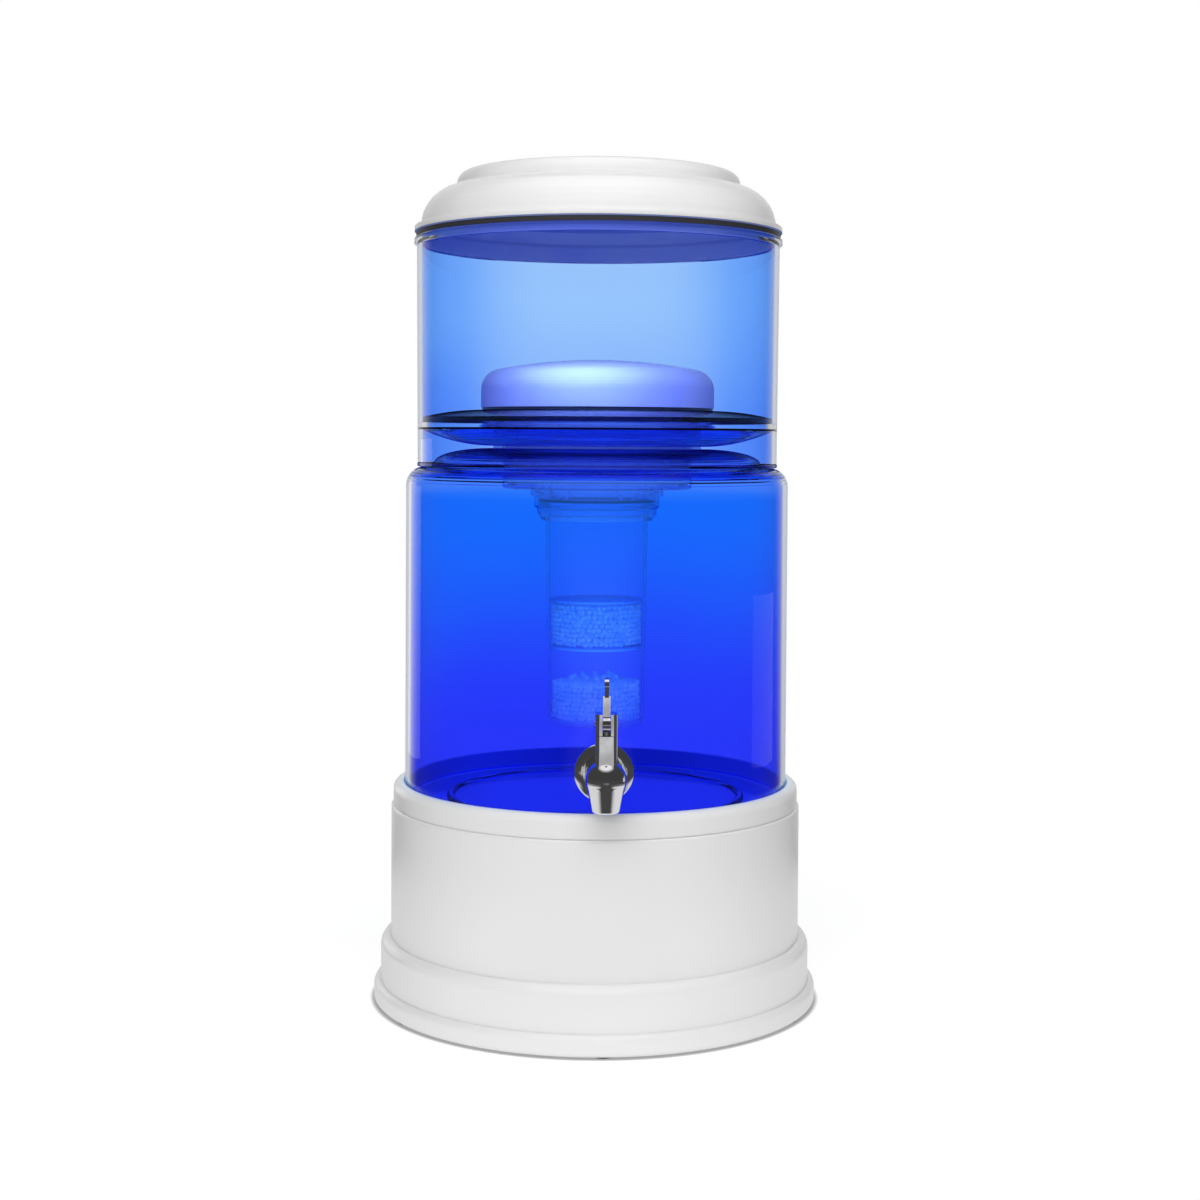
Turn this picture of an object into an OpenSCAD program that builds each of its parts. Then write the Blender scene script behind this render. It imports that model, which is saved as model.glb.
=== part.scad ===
// Gravity water filter: two stacked tinted tanks on a hollow stand, with a pre-filter dome,
// a media cartridge that hangs in the lower tank, and a self-closing lever tap.
// Millimetres, +Z up. The origin is on the floor, on the axis of the tanks. The tap points to -Y.

/* [Stand] */
// Height of the stand's rim above the floor
stand_h = 137.5; // [125:0.5:150]
// Wall of the stand
stand_wall = 3.5; // [3:0.1:4]
// Thickness of the collar round the tank
collar_wall = 6.6; // [6:0.1:8]
// Height of the collar band above its bevel
collar_h = 14.5; // [12:0.5:18]
// How far the collar is set in from the stand's wall
collar_step = 1.3; // [0.8:0.1:2]
// Rounding of the rim's outer edge
rim_round = 5; // [3:0.5:5.5]
// Depth of the seat that the lower tank stands in
seat_depth = 13.5; // [10:0.5:18]
// Width of the deck that carries the tank
deck_w = 32; // [25:1:40]
// Height of the upper plinth step
step_h = 40.3; // [36:0.1:46]
// How far the upper plinth step stands out
step_out = 6.3; // [5:0.1:8]
// Height of the lower plinth step
foot_h = 13; // [11:0.1:16]
// How far the lower plinth step stands out
foot_out = 4.2; // [3.5:0.1:6]
// Depth of the ribs under the deck
rib_h = 24; // [15:1:35]
// Thickness of the ribs
rib_t = 2.5; // [2:0.1:3]
// Number of ribs
rib_count = 8; // [6:1:12]
// Depth of the spigot that centres the seat ring in the wall
ring_spigot_h = 8; // [5:0.5:12]
// Width of the flange that the pads are glued to
pad_flange_w = 14; // [13:0.5:16]
// Diameter of a rubber pad
pad_d = 10; // [8:0.5:11]
// Number of rubber pads
pad_count = 6; // [4:1:8]
// How far the pads lift the stand off the floor
pad_lift = 1; // [0.8:0.1:1.5]

/* [Lower tank] */
// Outer diameter of the lower tank
tank_d = 242; // [236:1:250]
// Height of the lower tank
tank_h = 211.5; // [200:0.5:230]
// Wall of the lower tank
tank_wall = 3; // [2.5:0.1:3.5]
// Rounding of the tank's shoulder
shoulder_r = 11.5; // [9:0.5:12]
// Rounding of the tank's lower edge
corner_r = 7; // [5:0.5:9]
// Diameter of the tank's mouth
mouth_d = 208; // [202:1:212]
// Diameter of the raised ring in the tank's floor
floor_ring_d = 184; // [170:1:190]
// Width of the raised ring
floor_ring_w = 5; // [3:0.5:7]
// Height of the raised ring
floor_ring_h = 1.6; // [1:0.1:2.5]

/* [Tank cover] */
// Thickness of the cover between the tanks
cover_t = 2.5; // [2:0.1:3]
// Rise of the cover's dome above its flange
cover_rise = 9.2; // [7:0.1:10]
// Diameter of the hole that the filter holder passes through
cover_hole_d = 136; // [134:0.5:140]
// Depth of the ring that centres the cover in the tank's mouth
spigot_h = 4.5; // [3:0.5:8]

/* [Upper tank] */
// Outer diameter of the upper tank at its lower edge
upper_d = 227.6; // [222:0.2:232]
// Growth of its radius to the top
upper_draft = 0.9; // [0.5:0.1:1.5]
// Height of the upper tank
upper_h = 141; // [130:1:160]
// Wall of the upper tank
upper_wall = 2.8; // [2.4:0.1:3.2]
// Height of the middle of its floor above its lower edge
floor_h = 13.1; // [12.5:0.1:15]
// Rise of the floor from the middle to the wall
floor_dish = 10; // [8:0.5:12]
// Thickness of its floor
upper_floor_t = 2.6; // [2.2:0.1:3]
// Height of the rim bead
bead_h = 3.5; // [3:0.1:5]
// How far the rim bead stands out
bead_out = 1.7; // [1:0.1:2]

/* [Filter holder] */
// Outer diameter of the holder's cup
cup_d = 120; // [114:1:121]
// Wall of the holder
holder_wall = 2.4; // [2:0.1:2.8]
// Depth of the cup below its shoulder
cup_h = 31; // [28:0.5:36]
// Diameter of the holder's shoulder and of its nut
neck_d = 132; // [130:0.5:133]
// Height of the neck between the shoulder and the thread
neck_h = 4; // [3:0.5:5]
// Outer diameter of the thread under the tray
thread_d = 151.2; // [146:0.2:154]
// Depth of the thread's groove
thread_depth = 3; // [2:0.1:3.5]
// Pitch of the thread's crests
thread_pitch = 3; // [2.5:0.1:3.2]
// Thickness of the silicone washer under the shoulder
gasket_t = 1.5; // [1:0.1:2.5]
// Height of the clamping nut
nut_h = 6; // [5:0.5:6.5]

/* [Tray and pre-filter] */
// Thickness of the tray
tray_t = 3; // [2.5:0.1:3.5]
// Drop of the tray from its flat seat to its edge
tray_drop = 4.6; // [3.5:0.1:5]
// Diameter of the hole in the tray
tray_hole_d = 112; // [106:1:116]
// Diameter of the pre-filter dome
dome_d = 148; // [142:1:150]
// Height of the dome's straight side
dome_side_h = 13; // [8:0.5:20]
// Rounding of the dome's edge
dome_round = 13; // [8:0.5:18]
// Angle at which the dome's edge passes into its crown
crown_angle = 11; // [8:0.5:15]
// Wall of the ceramic dome
dome_wall = 8; // [6:0.5:10]
// Thickness of the seal under the dome
dome_seal_t = 1.6; // [1:0.1:2.5]

/* [Cartridge] */
// Outer diameter of the cartridge tube at its top
tube_d = 65.6; // [62:0.2:67]
// Loss of its radius down to the foot
tube_taper = 1.7; // [1:0.1:2.2]
// Wall of the tube
tube_wall = 2; // [1.6:0.1:2.4]
// Length of the tube below the crown's seat
tube_l = 138.5; // [125:0.5:142]
// Outer diameter of the cartridge's crown
crown_d = 74; // [72:0.2:75]
// Height of the crown above its seat
crown_h = 21.5; // [18:0.5:26]
// Wall of the crown
crown_wall = 2.4; // [2:0.1:2.8]
// Number of inlet windows in the crown
window_count = 5; // [4:1:6]
// Width of an inlet window
window_w = 15.2; // [12:0.2:17]
// Thickness of the wire of the crown's sealing ring
seal_wire = 2; // [1.6:0.1:2.4]
// Height of the lower bed of media
lower_bed_h = 20; // [14:0.5:24]
// Height of the chamber with loose beads
bead_room_h = 20; // [14:0.5:24]
// Height of the upper bed of media
upper_bed_h = 28; // [20:0.5:34]
// Thickness of a screen
screen_t = 1.5; // [1:0.1:2]
// Height of the foot plug's spigot inside the tube
plug_h = 5; // [4:0.5:7]
// Diameter of a loose bead
bead_d = 3.6; // [3:0.1:4.2]

/* [Tap] */
// Height of the tap's axis above the tank's underside
tap_rise = 37.5; // [34:0.5:44]
// Distance of the spout's axis from the tank's wall
tap_reach = 29; // [26:0.5:34]
// Diameter of the threaded shank through the tank's wall
shank_d = 16; // [14:0.5:18]
// Bore of the shank and the barrel
tap_bore_d = 10; // [8:0.5:11]
// Diameter of the barrel between the wall and the spout
barrel_d = 18; // [17.5:0.5:20]
// Greatest diameter of the tap's bulb
bulb_d = 23.3; // [22:0.1:25]
// Outer diameter of the outlet
outlet_d = 15.3; // [14.8:0.1:16.5]
// Bore of the outlet
outlet_bore_d = 12; // [11.5:0.1:12.4]
// Depth of the outlet below the tap's axis
outlet_drop = 18.2; // [17:0.2:22]
// Height of the riser's top above the tap's axis
riser_h = 25.5; // [24.5:0.1:28]
// Width of the riser and of the bonnet
riser_w = 12.5; // [12.2:0.1:14]
// Diameter of the escutcheon
escutcheon_d = 34.5; // [32:0.5:38]
// Thickness of the escutcheon
escutcheon_t = 3.2; // [2.5:0.1:4]
// Height of the bonnet above the riser
bonnet_h = 12; // [11.5:0.1:13]
// Length of the lever above its pin
lever_l = 26; // [22:0.5:34]
// Thickness of the lever's arm
lever_t = 4.2; // [3.6:0.1:4.6]
// Thickness of the lever's blade
blade_t = 2.4; // [2:0.1:3]
// Diameter of the lever's pin
pin_d = 3; // [2.5:0.1:3.4]
// Offset of the cam's tip from the pin
cam_offset = 3.6; // [3:0.1:4]
// Radius of the cam
cam_r = 4.2; // [3.8:0.1:4.4]
// Angle that the lever turns through when it is pulled
lever_travel = 37; // [32:1:38]
// Diameter of the valve stem
stem_d = 4; // [3.5:0.1:4.4]
// Diameter of the spring's wire
spring_wire = 0.8; // [0.6:0.05:1]
// Turns of the spring
spring_turns = 5; // [4:1:7]

/* [Lid] */
// Outer diameter of the lid's flange
lid_d = 232.4; // [228:0.2:236]
// Height of the lid's flange
lid_flange_h = 4.2; // [3:0.1:6]
// Wall of the lid
lid_wall = 2.6; // [2:0.1:3.2]
// Set-back of the shoulder from the flange
lid_setback = 4; // [3:0.5:6]
// Radius of the lid's shoulder
lid_shoulder_r = 25; // [20:0.5:28]
// Diameter of the raised tier
tier_d = 179.2; // [170:0.2:186]
// Height of the tier above the shoulder
tier_h = 9.2; // [7:0.1:12]
// Rounding of the tier's edge
tier_round = 7; // [4:0.5:7]
// Thickness of the lid's gasket
lid_gasket_t = 3; // [2:0.1:4]
// How far the lid's centring ring reaches into the tank
lid_ring_h = 5; // [3:0.5:8]

/* [Fits] */
// Gap between pieces that lift off each other
lift_gap = 0.2; // [0.1:0.05:0.3]
// Radial clearance of a tank in its seat
seat_fit = 0.6; // [0.4:0.1:1]
// Radial clearance of a pin, stem or shaft that runs
run_fit = 0.05; // [0.02:0.01:0.08]
// Clearance of pieces that are fixed together
set_fit = 0.05; // [0.02:0.01:0.1]

/* [Hidden] */

$fn = 96;
tiny = 0.01;
arc_steps = 8;
tank_blue = [0.10, 0.30, 0.95, 0.5];
clear_blue = [0.35, 0.55, 0.98, 0.5];
shell_white = [0.95, 0.95, 0.94];
chrome_grey = [0.78, 0.78, 0.80];

// Stand
tank_r = tank_d / 2;
seat_r = tank_r + seat_fit;
collar_r = seat_r + collar_wall;
body_r = collar_r + collar_step;
step_r = body_r + step_out;
foot_r = step_r + foot_out;
deck_z = stand_h - seat_depth;
deck_hole_r = seat_r - deck_w;
pad_r = foot_r - pad_flange_w / 2;
pad_recess = 0.8;
pad_fit = 0.2;
edge_round = 0.8;
bevel = 1;
ring_z = stand_h - collar_h;
spigot_wall = 3;
spigot_out_r = body_r - stand_wall - set_fit;
spigot_in_r = spigot_out_r - spigot_wall;
spigot_low_z = ring_z - ring_spigot_h;

// Lower tank
tank_z = deck_z + lift_gap;
tank_top = tank_z + tank_h;
mouth_r = mouth_d / 2;
tap_z = tank_z + tap_rise;
shank_hole_fit = 0.25;

// Cover
cover_z = tank_top + lift_gap;
flange_proud = 0.2;
flange_r = upper_d / 2 + flange_proud;
flange_bevel = 0.5;
cover_hole_r = cover_hole_d / 2;
dome_foot_r = mouth_r - seat_fit;

// Upper tank
upper_z = cover_z + cover_t + lift_gap;
upper_top = upper_z + upper_h;
upper_r = upper_d / 2;
upper_in_r = upper_r - upper_wall;
floor_z = upper_z + floor_h;
holder_fit = 0.5;
crown_fit = 0.3;
holder_hole_r = cup_d / 2 + holder_fit;
floor_land = 1;
floor_flat_r = neck_d / 2 + floor_land;
ledge_w = 3;
function floor_top(r) =
  floor_z + floor_dish * pow(max(0, r - floor_flat_r) / (upper_in_r - floor_flat_r), 2);
function upper_inner(z) = upper_in_r + upper_draft * (z - upper_z) / upper_h;

// Filter holder
neck_r = neck_d / 2;
cup_r = cup_d / 2;
shoulder_z = floor_z + gasket_t;
thread_z = shoulder_z + neck_h;
thread_turns = 3;
thread_flat = 0.1;
notch_count = 12;
notch_r = 4;
notch_roof = 1.5;
holder_rim_h = 2;
thread_root_r = thread_d / 2 - thread_depth;
cup_round = 1.5;
holder_top = thread_z + thread_turns * thread_pitch + holder_rim_h;
cup_z = shoulder_z - cup_h;
socket_in_r = crown_d / 2 + crown_fit;
socket_mid_h = 6;
socket_drop = 10.5;
socket_land_h = 5;
socket_seat_z = cup_z - socket_drop;
socket_low_z = socket_seat_z - socket_land_h;
cone_h = 4.6;
tube_r = tube_d / 2;
tube_fit = 0.4;
tube_hole_r = tube_r + tube_fit;
socket_flare = 0.7;
socket_low_r = socket_in_r + socket_flare;
cone_low_wall = 0.75 * holder_wall;
cone_low_r = tube_hole_r + cone_low_wall;

// Tray and dome
tray_z = holder_top + lift_gap;
tray_top = tray_z + tray_t;
tray_seat_w = 2;
tray_fit = 0.2;
tray_seat_r = dome_d / 2 + tray_seat_w;
tray_r = upper_in_r - tray_fit;
tray_curve_r = (pow(tray_r - tray_seat_r, 2) + pow(tray_drop, 2)) / (2 * tray_drop);
tray_curve_angle = asin((tray_r - tray_seat_r) / tray_curve_r);
ledge_z = tray_z - tray_drop - lift_gap;
dome_z = tray_top + lift_gap;
dome_r = dome_d / 2;

// Cartridge
crown_r = crown_d / 2;
crown_z = socket_seat_z + lift_gap;
crown_solid_h = 8.5;
crown_spigot_h = 2.5;
crown_spigot_fit = 0.15;
spigot_r = tube_hole_r - crown_spigot_fit;
window_rise = 2.2;
window_angle = -60;
tube_lap = 6.5;
tube_top = crown_z + tube_lap;
tube_z = crown_z - tube_l;
tube_low_r = tube_r - tube_taper;
function tube_outer(z) = tube_low_r + tube_taper * min(1, (z - tube_z) / tube_l);
function tube_inner(z) = tube_outer(z) - tube_wall;
media_gap = 0.15;
media_slump = 2.5;
seal_rise = 2.6;
seal_proud = 0.2;
hole_ring_step = 7;
outlet_hole_r = 1.6;
bead_count = 12;
bead_ring_r = 8;
bead_spread = 11;
foot_flange_t = 2.5;
plug_in_r = tube_low_r - 2 * tube_wall;
lower_bed_z = tube_z + foot_flange_t + plug_h;
bead_floor_z = lower_bed_z + lower_bed_h;
bead_z = bead_floor_z + bead_d / 2 + tiny;
middle_screen_z = bead_floor_z + bead_room_h;
upper_bed_z = middle_screen_z + screen_t;
upper_screen_z = upper_bed_z + upper_bed_h;

// Tap
tap_y = -(tank_r + tap_reach);
washer_t = 2.5;
washer_r = 13;
nut_t = 8;
nut_r = 15;
nut_chamfer = 1.2;
shank_proud = 0.5;
shank_l = 2 * washer_t + tank_wall + nut_t + shank_proud;
barrel_ring_t = 2.2;
barrel_ring_w = 1.4;
riser_round = 2.5;
bulb_low_angle = -24;
bulb_high_angle = 58;
escutcheon_y = -(tank_r + washer_t);
escutcheon_land = 2;
escutcheon_flat_r = barrel_d / 2 + escutcheon_land;
riser_top = tap_z + riser_h;
outlet_z = tap_z - outlet_drop;
bonnet_gap = 0.3;
bonnet_z = riser_top + bonnet_gap;
bonnet_top = bonnet_z + bonnet_h;
// The pulled lever's cam stays above the bonnet's underside, to a tenth of a millimetre
pin_rise = ceil(10 * (cam_r + cam_offset * sin(lever_travel))) / 10;
pin_z = bonnet_z + pin_rise;
seat_web = 2;
seat_z = tap_z - tap_bore_d / 2 - seat_web;
seat_hole_r = 3.8;
sleeve_r = 5.1;
sleeve_h = 6.5;
sleeve_wall = 0.7;
head_r = sleeve_r - sleeve_wall - run_fit;
head_t = 2;
cam_gap = 0.2;
slot_sink = 0.6;
pin_proud = 0.4;
head_top = pin_z - cam_r - cam_gap;
guide_h = 5.5;
riser_floor = tap_z + tap_bore_d / 2 + guide_h;
stem_r = stem_d / 2;
gland_h = 2;
seal_t = 3.2;
seal_r = 4.9;
stem_foot_t = 1.4;
mouth_h = 4;
chamber_gap = 0.7;
chamber_r = seal_r + chamber_gap;
foot_disc_r = 3.2;
slot_side_gap = 0.3;
slot_w = lever_t + 2 * slot_side_gap;
arm_root = 0.9 * cam_r;
arm_front = -4.6;
arm_back = 2.2;
blade_r = 4.4;
blade_mid = -1.8;
blade_h = 11;
blade_low = lever_l - blade_h;
blade_lap = 1;
blade_high = lever_l - blade_r;

// Lid
lid_z = upper_top + lift_gap + lid_gasket_t;
lid_r = lid_d / 2;
lid_body_r = lid_r - lid_setback;
lid_top_z = lid_z + lid_flange_h + lid_shoulder_r + tier_h;
tier_r = tier_d / 2;
rim_in_r = upper_inner(upper_top);
lid_ring_r = rim_in_r - seat_fit;
lid_crown = 0.8;

// Points of an arc about a centre, from one angle to another
function arc(centre, r, from, to, steps = arc_steps) =
  [for (i = [0:steps]) let (angle = from + (to - from) * i / steps) centre + r * [cos(angle), sin(angle)]];
// Points of a quarter ellipse
function ellipse_arc(centre, a, b, from, to, steps = arc_steps) =
  [for (i = [0:steps]) let (angle = from + (to - from) * i / steps)
    centre + [a * cos(angle), b * sin(angle)]];

function reversed(points) = [for (i = [len(points) - 1:-1:0]) points[i]];

module turned(points) rotate_extrude() polygon(points);

// A cylinder along -Y that starts at y
module along_tap(y, length, r) translate([0, y, tap_z]) rotate([90, 0, 0]) cylinder(h = length, r = r);

// --- Stand ---

module stand_shell() {
  turned(concat(
    [[foot_r - bevel, pad_lift], [foot_r, pad_lift + bevel]],
    arc([step_r, foot_h - foot_out], foot_out, 0, 90),
    arc([body_r, step_h - step_out], step_out, 0, 90),
    [
      [body_r, ring_z - bevel], [collar_r + set_fit, ring_z], [body_r - stand_wall, ring_z],
      [body_r - stand_wall, step_h - stand_wall],
      [step_r - stand_wall, step_h - step_out - stand_wall / 2], [step_r - stand_wall, foot_h],
      [foot_r - stand_wall, foot_h - foot_out], [foot_r - stand_wall, pad_lift + stand_wall],
      [foot_r - pad_flange_w, pad_lift + stand_wall], [foot_r - pad_flange_w, pad_lift]
    ]
  ));
}

module pad_places() {
  for (i = [0:pad_count - 1]) rotate(360 * (i + 0.5) / pad_count) translate([pad_r, 0, 0]) children();
}

module base_stand() color(shell_white) difference() {
  stand_shell();
  pad_places() translate([0, 0, pad_lift - tiny]) cylinder(h = pad_recess + tiny, r = pad_d / 2 + pad_fit);
}

// Ring with the collar and the deck that carry the lower tank; it stands on the wall's top edge
module seat_ring() color(shell_white) {
  turned(concat(
    [[spigot_out_r, ring_z + set_fit], [collar_r, ring_z + set_fit]],
    arc([collar_r - rim_round, stand_h - rim_round], rim_round, 0, 90),
    arc([seat_r + edge_round, stand_h - edge_round], edge_round, 90, 180, 3),
    [
      [seat_r, deck_z], [deck_hole_r, deck_z], [deck_hole_r, deck_z - stand_wall],
      [spigot_in_r, deck_z - stand_wall], [spigot_in_r, spigot_low_z], [spigot_out_r, spigot_low_z]
    ]
  ));
  for (i = [0:rib_count - 1]) rotate(360 * i / rib_count) rib();
  translate([0, 0, deck_z - stand_wall - rib_h]) difference() {
    cylinder(h = rib_h + stand_wall / 2, r = deck_hole_r + rib_t);
    translate([0, 0, -tiny]) cylinder(h = rib_h + stand_wall, r = deck_hole_r);
  }
}

// A rib under the deck, cut back below the spigot so that it slopes to the wall
module rib() translate([0, rib_t / 2, 0]) rotate([90, 0, 0]) linear_extrude(rib_t) polygon([
  [deck_hole_r + rib_t / 2, deck_z - stand_wall / 2], [spigot_in_r + spigot_wall / 2, deck_z - stand_wall / 2],
  [spigot_in_r + spigot_wall / 2, spigot_low_z], [deck_hole_r + rib_t / 2, deck_z - stand_wall - rib_h]
]);

module base_feet() color("dimgray")
  pad_places() cylinder(h = pad_lift + pad_recess, d = pad_d);

// --- Lower tank ---

module lower_tank() color(tank_blue) difference() {
  turned(concat(
    [[0, tank_z]],
    arc([tank_r - corner_r, tank_z + corner_r], corner_r, -90, 0),
    arc([tank_r - shoulder_r, tank_top - shoulder_r], shoulder_r, 0, 90),
    [[mouth_r, tank_top], [mouth_r, tank_top - tank_wall]],
    arc([tank_r - shoulder_r, tank_top - shoulder_r], shoulder_r - tank_wall, 90, 0),
    arc([tank_r - corner_r, tank_z + corner_r], corner_r - tank_wall, 0, -90),
    ellipse_arc([floor_ring_d / 2, tank_z + tank_wall], floor_ring_w / 2, floor_ring_h, 0, 180),
    [[0, tank_z + tank_wall]]
  ));
  along_tap(-tank_r + 2 * tank_wall, 4 * tank_wall, shank_d / 2 + shank_hole_fit);
}

// --- Tap ---

// Bulb and spout: a sphere that runs out into a cone, with the riser's neck on top
module bulb() translate([0, tap_y, 0]) turned(concat(
  [[0, outlet_z], [outlet_d / 2 - edge_round, outlet_z], [outlet_d / 2, outlet_z + edge_round]],
  arc([0, tap_z], bulb_d / 2, bulb_low_angle, bulb_high_angle, 2 * arc_steps),
  [[0, tap_z + bulb_d / 2 * sin(bulb_high_angle)]]
));

module rounded_post(w, z_low, z_high, r) translate([0, tap_y, z_low]) linear_extrude(z_high - z_low) union() {
  square([w - 2 * r, w], center = true);
  square([w, w - 2 * r], center = true);
  for (x = [-1, 1], y = [-1, 1]) translate([x * (w / 2 - r), y * (w / 2 - r)]) circle(r);
}

module tap_body() color(chrome_grey) difference() {
  union() {
    bulb();
    along_tap(escutcheon_y + shank_l, shank_l, shank_d / 2);
    along_tap(escutcheon_y, escutcheon_y - tap_y, barrel_d / 2);
    along_tap(escutcheon_y - escutcheon_t - set_fit, barrel_ring_t, barrel_d / 2 + barrel_ring_w);
    rounded_post(riser_w, tap_z + bulb_d / 4, riser_top, riser_round);
  }
  along_tap(escutcheon_y + shank_l + 1, escutcheon_y + shank_l + 2 - tap_y + seat_hole_r, tap_bore_d / 2);
  translate([0, tap_y, outlet_z - tiny]) cylinder(h = mouth_h + tiny, d = outlet_bore_d);
  translate([0, tap_y, outlet_z]) cylinder(h = seat_z - outlet_z, r = chamber_r);
  translate([0, tap_y, seat_z - 1]) cylinder(h = tap_z - seat_z + 1, r = seat_hole_r);
  translate([0, tap_y, tap_z]) cylinder(h = riser_h, r = stem_r + run_fit);
  translate([0, tap_y, riser_floor]) cylinder(h = riser_h, r = sleeve_r + set_fit);
}

module tap_escutcheon() color(chrome_grey) difference() {
  translate([0, escutcheon_y, tap_z]) rotate([90, 0, 0]) turned(concat(
    [[0, 0], [escutcheon_d / 2, 0], [escutcheon_d / 2, bevel]],
    ellipse_arc(
      [escutcheon_flat_r, bevel], escutcheon_d / 2 - escutcheon_flat_r, escutcheon_t - bevel, 0, 90),
    [[0, escutcheon_t]]
  ));
  along_tap(escutcheon_y + 1, escutcheon_t + 2, barrel_d / 2 + set_fit);
}

// A silicone washer with one face to the curved tank
module tap_outer_washer() color("gainsboro") difference() {
  along_tap(escutcheon_y + 2 * washer_t, 2 * washer_t, washer_r);
  along_tap(escutcheon_y + 2 * washer_t + 1, 2 * washer_t + 2, shank_d / 2 + set_fit);
  translate([0, 0, tap_z - 2 * washer_r]) cylinder(h = 4 * washer_r, r = tank_r + set_fit, $fn = 192);
}

module tap_inner_washer() color("gainsboro") intersection() {
  difference() {
    along_tap(-(tank_r - tank_wall) + washer_t, 2 * washer_t, washer_r);
    along_tap(-(tank_r - tank_wall) + washer_t + 1, 2 * washer_t + 2, shank_d / 2 + set_fit);
  }
  translate([0, 0, tap_z - 2 * washer_r])
    cylinder(h = 4 * washer_r, r = tank_r - tank_wall - set_fit, $fn = 192);
}

module tap_nut() color("whitesmoke") difference() {
  translate([0, -(tank_r - tank_wall) + washer_t + set_fit, tap_z]) rotate([-90, 0, 0]) intersection() {
    cylinder(h = nut_t, r = nut_r, $fn = 6);
    turned([
      [0, 0], [nut_r - 2 * nut_chamfer, 0], [nut_r - nut_chamfer / 2, nut_chamfer],
      [nut_r - nut_chamfer / 2, nut_t - nut_chamfer], [nut_r - 2 * nut_chamfer, nut_t], [0, nut_t]
    ]);
  }
  along_tap(-(tank_r - tank_wall) + washer_t + nut_t + 1, nut_t + 2, shank_d / 2 + set_fit);
}

module tap_bonnet() color(chrome_grey) difference() {
  union() {
    rounded_post(riser_w, bonnet_z, bonnet_top, riser_round);
    translate([0, tap_y, riser_top - sleeve_h]) cylinder(h = sleeve_h + 1, r = sleeve_r);
  }
  translate([0, tap_y, riser_top - sleeve_h - 1])
    cylinder(h = head_top + 2 * cam_gap - riser_top + sleeve_h + 1, r = head_r + run_fit);
  translate([-slot_w / 2, tap_y - riser_w, head_top - slot_sink]) cube([slot_w, 2 * riser_w, bonnet_h]);
  translate([-slot_w / 2, tap_y - riser_w, riser_top]) cube([slot_w, riser_w, bonnet_h]);
  translate([-riser_w, tap_y, pin_z]) rotate([0, 90, 0]) cylinder(h = 2 * riser_w, r = pin_d / 2 + set_fit);
}

module lever_pin() color("silver") translate([-riser_w / 2 - pin_proud, tap_y, pin_z])
  rotate([0, 90, 0]) cylinder(h = riser_w + 2 * pin_proud, d = pin_d);

// The lever's side outline, with the pin at the origin, drawn front to the left
module cam_outline() {
  circle(cam_r);
  translate([-cam_offset, 0]) circle(cam_r);
  translate([-cam_offset, -cam_r]) square([cam_offset, 2 * cam_r]);
}

module lever_plate(thickness) translate([-thickness / 2, tap_y, pin_z])
  rotate([90, 0, 90]) linear_extrude(thickness) children();

module tap_lever() color(chrome_grey) difference() {
  union() {
    lever_plate(lever_t) cam_outline();
    lever_plate(lever_t) polygon([
      [-cam_r, 0], [arm_root, 0], [arm_back, blade_low + blade_lap], [arm_front, blade_low + blade_lap]
    ]);
    lever_plate(blade_t) polygon([
      [arm_front, blade_low], [arm_back, blade_low],
      [blade_mid + blade_r, blade_high], [blade_mid - blade_r, blade_high]
    ]);
    lever_plate(blade_t) translate([blade_mid, blade_high]) circle(blade_r);
  }
  translate([-lever_t, tap_y, pin_z]) rotate([0, 90, 0]) cylinder(h = 2 * lever_t, r = pin_d / 2 + run_fit);
}

module valve_stem() color("silver") translate([0, tap_y, 0]) {
  translate([0, 0, head_top - head_t]) cylinder(h = head_t, r = head_r);
  translate([0, 0, seat_z - lift_gap - seal_t - stem_foot_t]) {
    cylinder(h = stem_foot_t, r = foot_disc_r);
    cylinder(h = head_top - head_t / 2 - seat_z + lift_gap + seal_t + stem_foot_t, r = stem_r);
  }
}

module valve_seal() color("black") translate([0, tap_y, seat_z - lift_gap - seal_t]) difference() {
  turned([
    [0, 0], [seal_r - edge_round, 0], [seal_r, edge_round],
    [seal_r, seal_t - edge_round], [seal_r - edge_round, seal_t], [0, seal_t]
  ]);
  translate([0, 0, -1]) cylinder(h = seal_t + 2, r = stem_r + set_fit);
}

// Stem packing: a thick ring that lies on the riser's floor
module stem_seal() color("black") translate([0, tap_y, riser_floor]) difference() {
  cylinder(h = gland_h, r = sleeve_r);
  translate([0, 0, -1]) cylinder(h = gland_h + 2, r = stem_r + run_fit);
}

// A ring of points round the wire at angle t along a helix
function coil_ring(t, r, pitch, wire, sides) = [for (k = [0:sides - 1])
  let (a = 360 * k / sides, u = r + wire / 2 * cos(a))
    [u * cos(t), u * sin(t), pitch * t / 360 + wire / 2 * sin(a)]];

module coil(r, pitch, wire, turns, sides = 8, steps = 14) {
  count = turns * steps;
  points = [for (i = [0:count]) each coil_ring(360 * i / steps, r, pitch, wire, sides)];
  skin = [for (i = [0:count - 1], k = [0:sides - 1])
    let (n = (k + 1) % sides) [i * sides + n, (i + 1) * sides + n, (i + 1) * sides + k, i * sides + k]];
  first = [for (k = [0:sides - 1]) sides - 1 - k];
  last = [for (k = [0:sides - 1]) count * sides + k];
  polyhedron(points, concat(skin, [first], [last]));
}

module valve_spring() color("silver") {
  room = head_top - head_t - riser_floor - gland_h - spring_wire - 2 * set_fit;
  translate([0, tap_y, riser_floor + gland_h + spring_wire / 2 + set_fit])
    coil(head_r - spring_wire, room / spring_turns, spring_wire, spring_turns);
}

// --- Cover between the tanks ---

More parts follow.
